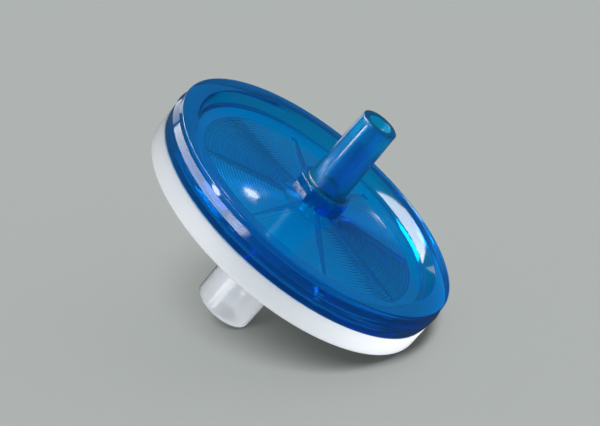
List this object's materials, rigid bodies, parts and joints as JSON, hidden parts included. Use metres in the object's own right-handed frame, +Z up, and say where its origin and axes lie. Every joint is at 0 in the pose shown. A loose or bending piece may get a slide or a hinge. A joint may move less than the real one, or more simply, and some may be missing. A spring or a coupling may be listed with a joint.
{
  "type": "syringe filter",
  "caption": "Disc-shaped syringe filter: clear inlet half with a female luer socket, blue outlet half with a male luer tip, lying on its rim and socket.",
  "frame": {"origin": "centre of the bounding box's bottom face, on the surface the filter lies on", "axes": "+Z up; the filter's own axis, from inlet to outlet, leans from +Z towards +X by about 39 degrees; +Y across the disc, along its full diameter"},
  "size_m": [0.0294, 0.0338, 0.025],
  "materials": {
    "clear_plastic": "clear, slightly milky moulded plastic, glossy, that shows the floor through the socket",
    "blue_plastic": "transparent deep blue moulded plastic, glossy, bright cyan-blue where thin and indigo where thick",
    "membrane": "matt white porous membrane"
  },
  "bodies": {
    "root": {"inlet_housing": "clear_plastic", "outlet_housing": "blue_plastic", "filter_membrane": "membrane"}
  },
  "joints": []
}
